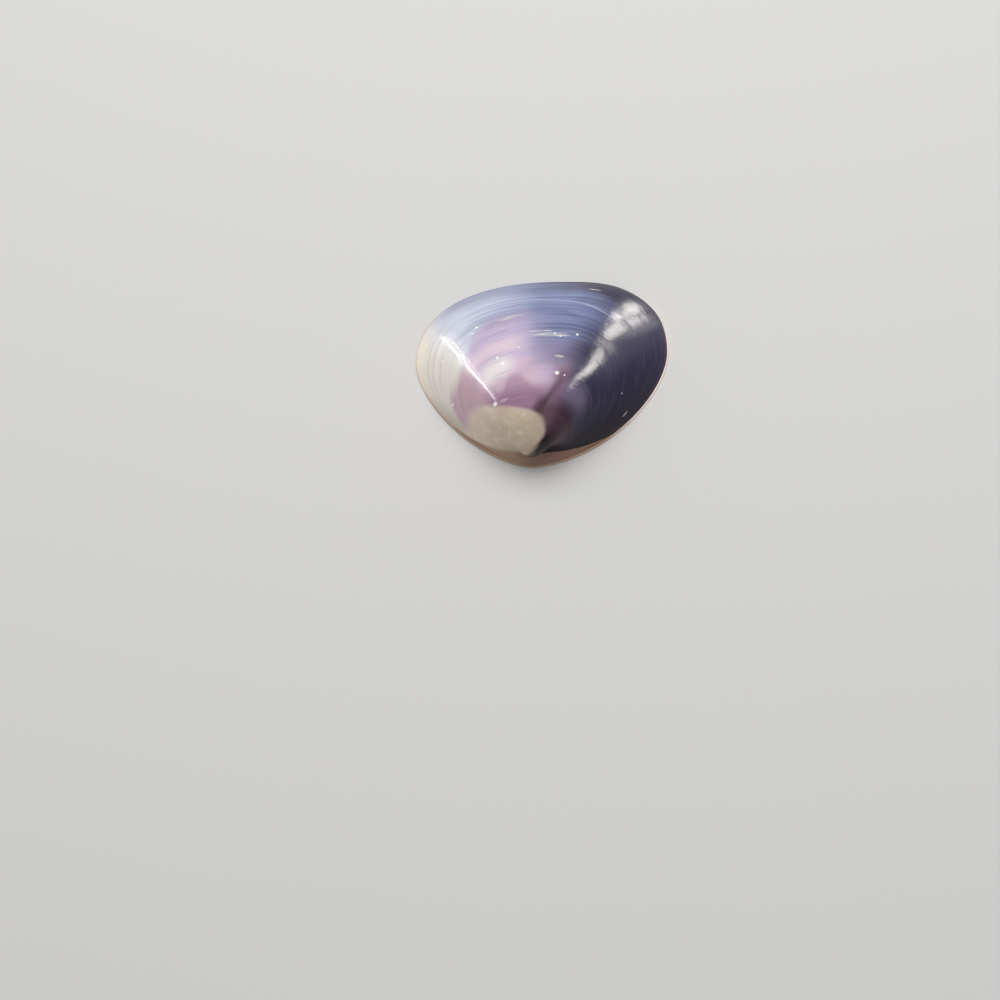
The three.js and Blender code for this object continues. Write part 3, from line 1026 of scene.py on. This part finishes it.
def glints_and_strokes_over(place, face):
    """White painted glints within each spot's radius of its middle, and cream within an ellipse round each
    stroke's middle.
    """
    flat = place.x.add("ShaderNodeCombineXYZ", inputs={"X": place.x, "Y": place.y})
    painted_glints = 0.0
    # Each spot is a painted glint of a small pit.
    for x, y, radius in GLINT_SPOTS:
        measure = {"operation": "DISTANCE"}
        distance = flat.add("ShaderNodeVectorMath", measure, {0: flat, 1: (x, y, 0)}, output=1)
        painted_glints = distance.ramp(*(radius * share for share in GLINT_SOFT_RADII)) + painted_glints
    strokes = 0.0
    for at_turn, at_growth, half_turn, half_growth in STROKES:
        along = (place.turn - at_turn) / half_turn
        across = (place.journey - at_growth) / half_growth
        strokes = (along * along + across * across).ramp(1.0, 0.2) + strokes
    broken = strokes * place.streaks(160, 6, 3).ramp(0.35, 0.6) * 0.8
    return face.layered((STROKE_CREAM, broken), (GLINT_WHITE, painted_glints.at_most(1.0)))


print("chips:", len(GLINT_SPOTS), "strokes:", len(STROKES))

# %% [markdown]
# ## All colours of the outer face
#
# The zones are laid over each other from the widest to the smallest, as layers of glaze would be, and the
# lip comes last. Straight from the formulas their edges would be too clean, so clouds and streaks first
# shift the turn and the growth that the zones are read from.

# %% All colours of the outer face
ZONE_BEND = 0.07
ZONE_FRAY = 0.05
RING_BEND = 0.02
LIP = (196, 166, 146)
LIP_HIND = (250, 232, 222)
LIP_FRONT = (232, 212, 194)
LIP_SHADOW = (104, 80, 80)
LIP_GROWTH = (0.996, 1.002)


def outer_colour(place):
    """All zones laid over each other, each by the mask that its own function works out."""
    turn_now = place.turn + ZONE_BEND * (place.clouds(7) - 0.5) + ZONE_FRAY * (place.streaks(60, 30) - 0.5)
    growth = place.journey + RING_BEND * (place.clouds(5, 3) - 0.5)
    face = navy_and_slate(place, turn_now, growth)
    beside = 0.2 * turn_now.ramp(2.11, 2.19) + 0.8 * turn_now.ramp(2.08, 2.46)
    face = face.under(white_and_ivory(place, turn_now, growth), beside)
    face = saddle_over(place, face, turn_now, growth)
    face = face.layered((BRIGHT_LINE, bright_line(turn_now, place.journey)))
    face = beak_over(place, face, turn_now, growth)
    face = patch_over(place, face, turn_now, growth)
    face = strips_over(place, face)
    # Painted glints of small pits, and cream strokes.
    face = glints_and_strokes_over(place, face)
    hind_lip = place.turn.band(0.5, 1.5, 0.1)
    face = face.layered((LIP_SHADOW, place.journey.band(0.978, 0.99, 0.008) * hind_lip * 0.35))
    lip_colour = place.colour(*LIP).layered(
        (LIP_HIND, hind_lip),
        (LIP_FRONT, place.turn.band(2.8, 3.3, 0.15)),
    )
    bare_lip = 1 - place.turn.band(1.6, 2.7, 0.15)
    return face.under(lip_colour, place.journey.ramp(*LIP_GROWTH) * bare_lip)


print("zones are bent by at most", ZONE_BEND / 2, "of a turn")

# %% [markdown]
# ## The polish
#
# The front of the dome is polished like glass, the hind end has a satin gloss from fine combed lines, and
# the worn patch and the strip are nearly dull. A lower roughness alone would blur every reflection alike.
# A clear coat over a satin base gives both: sharp reflections where the coat is, and combed ones where it
# is thin.

# %% The polish
SHELL_ROUGHNESS = 0.24
HIND_SMOOTHER = 0.05
WORN_ROUGHER = 0.22
DULL_ROUGHER = 0.4
BUMP_STRENGTH = 0.6
BUMP_DEPTH = 0.06
COAT = 0.6
COAT_LOST_TO_WEAR = 0.7
COAT_LOST_TO_SATIN = 0.85


def outer_finish():
    """Polished shell: a coat in front, little of it behind, along the belly and on the patch, none on dull.

    Roughness and coat are sums and products of the masks. The bump is streaks along growth, strongest
    behind, with fibres on the strip and pores in the patch.
    """
    material = bpy.data.materials.new("polished_shell")
    place = Place(material)
    strip = strip_mask(place)
    hind = place.turn.ramp(2.0, 1.6)
    worn = cream_patch(place)
    dull = strip.at_least(place.journey.ramp(0.99, 0.998))
    satin = hind.at_least(place.turn.ramp(2.5, 2.15) * place.journey.ramp(0.66, 0.8))
    roughness = SHELL_ROUGHNESS - HIND_SMOOTHER * hind + WORN_ROUGHER * worn + DULL_ROUGHER * dull
    coat = COAT * (1 - dull) * (1 - COAT_LOST_TO_WEAR * worn) * (1 - COAT_LOST_TO_SATIN * satin)
    combed = 0.6 * place.streaks(60, 5, 3) + 0.3 * place.streaks(150, 5, 4) + 0.15 * place.clouds(0.6, 3)
    striae = combed * (0.3 + 2.7 * hind) * (1 - strip)
    fibres = place.streaks(130, 10, 4) * strip * 3
    pores = place.clouds(0.7, 3) * worn * 1.2
    bumps = {
        "Strength": BUMP_STRENGTH,
        "Distance": BUMP_DEPTH * MILLIMETRE,
        "Height": striae + fibres + pores,
    }
    normal = place.turn.add("ShaderNodeBump", inputs=bumps)
    place.feed(
        Base_Color=outer_colour(place),
        Roughness=roughness,
        Normal=normal,
        Coat_Weight=coat,
        Coat_Roughness=0.1,
        Specular_IOR_Level=0.2,
    )
    return material


polished_shell = outer_finish()
valve_mesh.materials.append(polished_shell)
print(polished_shell.name, "has", len(polished_shell.node_tree.nodes), "nodes")

# %% [markdown]
# ## The inside
#
# The inside was never polished: it is smooth by nature, like porcelain, white in the middle with a violet
# blush towards the margin, strongest at the hind end. It could share the outer finish, but it has its own
# material, because none of the outer zones reach it.

# %% The inner finish
PORCELAIN = (236, 228, 222)
BLUSH = (150, 124, 170)
PLATE_CREAM = (232, 214, 206)
PORCELAIN_ROUGHNESS = 0.24
CLOUDY_ROUGHER = 0.1


def inner_finish():
    """White with a blush: a smooth step in growth, times a share that is larger behind, times clouds."""
    material = bpy.data.materials.new("porcelain_shell")
    place = Place(material)
    growth = JOURNEY_END - place.journey
    cloudy = place.clouds(8, 3)
    hind = place.turn.band(0.4, 1.7, 0.4)
    blush = growth.ramp(0.55, 1.0) * (0.35 + 0.65 * hind) * cloudy.ramp(0.3, 0.6)
    inside = place.colour(*PORCELAIN).layered(
        (BLUSH, blush * 0.75),
        (PLATE_CREAM, place.journey.ramp(2.0, 1.7)),
    )
    roughness = PORCELAIN_ROUGHNESS + CLOUDY_ROUGHER * cloudy
    lines = {"Strength": 0.3, "Distance": 0.04 * MILLIMETRE, "Height": place.streaks(90, 12, 3)}
    normal = place.turn.add("ShaderNodeBump", inputs=lines)
    place.feed(Base_Color=inside, Roughness=roughness, Normal=normal, Coat_Weight=0.4, Coat_Roughness=0.1)
    return material


porcelain_shell = inner_finish()
valve_mesh.materials.append(porcelain_shell)
print(porcelain_shell.name, "has", len(porcelain_shell.node_tree.nodes), "nodes")

# %% [markdown]
# ## The skin in place of the solid
#
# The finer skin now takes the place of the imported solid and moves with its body. The valve has no joints,
# so that body is the root.

# %% The skin in place of the solid
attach(valve, "root")
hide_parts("valve")
print("the skin replaces the solid valve on the root body")

# %% [markdown]
# ## Floor
#
# The valve lies on a plain pale floor, which is one large square. A backdrop that curves up behind it
# would hide the horizon, but the object is also looked at from all sides, and a flat floor is the same
# from each.

# %% Floor
FLOOR_HALF = 3.0
FLOOR_GREY = (216, 215, 213)
floor_mesh = bpy.data.meshes.new("floor")
corners = np.array([(-1, -1, 0), (1, -1, 0), (1, 1, 0), (-1, 1, 0)]) * FLOOR_HALF
floor_mesh.from_pydata(corners, [], [(0, 1, 2, 3)])
floor = bpy.data.objects.new("floor", floor_mesh)
bpy.context.scene.collection.objects.link(floor)
floor_finish = bpy.data.materials.new("pale_floor")
floor_finish.use_nodes = True
floor_shader = floor_finish.node_tree.nodes["Principled BSDF"]
floor_shader.inputs["Base Color"].default_value = screen(*FLOOR_GREY)
floor_shader.inputs["Roughness"].default_value = 0.8
floor_shader.inputs["Specular IOR Level"].default_value = 0.0
floor_mesh.materials.append(floor_finish)
print("floor:", 2 * FLOOR_HALF, "m across")

# %% [markdown]
# ## Lights
#
# A wide soft light from above and behind, with an even pale sky, shows the colours. A polished dome
# mirrors a narrow light as a long line, which is what shows the polish, so narrow lights stand on both
# sides: straight strips before a faint glow on the left, and on the right ellipses set end to end, so
# that their reflection bends where the dome does. The narrow ones only make reflections and the wide one
# makes none, so each can be set by itself.

# %% Lights
WORLD_STRENGTH = 0.35
LAMP_WARM = (1.0, 0.96, 0.89)


def area_light(name, start, end, width, radiance, shape="RECTANGLE"):
    """A flat light whose long side runs from start to end, facing the shell.

    Its power is pi * area * radiance, so a mirror shows every light at its own radiance.
    """
    start, end = Vector(start), Vector(end)
    light = bpy.data.lights.new(name, "AREA")
    light.shape = shape
    light.size = (end - start).length
    light.size_y = width
    area = light.size * width * (math.pi / 4 if shape == "ELLIPSE" else 1)
    light.energy = math.pi * area * radiance
    lamp = bpy.data.objects.new(name, light)
    long_side = (end - start).normalized()
    middle = (start + end) / 2
    backwards = (middle - long_side * middle.dot(long_side)).normalized()
    across = backwards.cross(long_side)
    axes = Matrix((long_side, across, backwards)).transposed().to_4x4()
    lamp.matrix_world = Matrix.Translation(middle) @ axes
    lamp.visible_camera = False
    bpy.context.scene.collection.objects.link(lamp)
    return lamp


world = bpy.data.worlds.new("soft_studio")
world.use_nodes = True
world.node_tree.nodes["Background"].inputs["Color"].default_value = (1, 1, 1, 1)
world.node_tree.nodes["Background"].inputs["Strength"].default_value = WORLD_STRENGTH
bpy.context.scene.world = world
lamps = [
    area_light("soft_top", (-0.5, 0.45, 0.9), (0.5, 0.45, 0.9), 0.8, 3.6),
    area_light("left_upper", (-0.36, 0.36, -0.01), (-0.36, 0.155, 0.135), 0.011, 13),
    area_light("left_lower", (-0.36, 0.155, 0.112), (-0.36, -0.04, 0.242), 0.015, 33),
    area_light("left_twin", (-0.36, 0.35, 0.035), (-0.36, 0.0, 0.27), 0.005, 18),
    area_light("left_glow", (-0.36, 0.40, -0.03), (-0.36, 0.03, 0.24), 0.15, 1.2, "ELLIPSE"),
    area_light("right_low", (0.35, 0.55, 0.085), (0.35, 0.4, 0.222), 0.11, 25, "ELLIPSE"),
    area_light("right_tip", (0.35, 0.94, -0.03), (0.35, 0.58, 0.085), 0.045, 46, "ELLIPSE"),
    area_light("right_glow", (0.35, 0.47, 0.0), (0.35, 0.31, 0.08), 0.12, 3.4, "ELLIPSE"),
    area_light("right_high", (0.35, 0.36, 0.25), (0.35, 0.09, 0.258), 0.09, 27, "ELLIPSE"),
    area_light("right_end", (0.35, 0.17, 0.26), (0.35, 0.1, 0.48), 0.09, 26, "ELLIPSE"),
]
lamps[0].visible_glossy = False
for lamp in lamps[1:]:
    lamp.visible_diffuse = False
    lamp.data.color = LAMP_WARM
bpy.context.scene.view_settings.view_transform = "Standard"
print("lights:", [lamp.name for lamp in lamps])

# %% [markdown]
# ## Camera
#
# The camera looks down on the shell from the hinge side, about 63 degrees above the level, and is
# slightly rolled. It could be placed by hand in the viewport, but a place, an aim and a roll can be read
# and changed in the script.

# %% Camera
CAMERA_PLACE = Vector((0.009, -0.1982, 0.3833))
CAMERA_AIM = Vector((-0.0096, -0.038, 0.0))
CAMERA_ROLL = math.radians(-4.12)
CAMERA_LENS = 56.0

camera = bpy.data.objects.new("camera", bpy.data.cameras.new("camera"))
camera.data.lens = CAMERA_LENS
camera.data.clip_start = 0.01
camera.location = CAMERA_PLACE
camera.rotation_mode = "QUATERNION"
level_aim = (CAMERA_AIM - CAMERA_PLACE).to_track_quat("-Z", "Y")
camera.rotation_quaternion = level_aim @ Quaternion((0, 0, 1), CAMERA_ROLL)
bpy.context.scene.collection.objects.link(camera)
bpy.context.scene.camera = camera
print("camera:", round((CAMERA_PLACE - CAMERA_AIM).length, 3), "m from its aim")
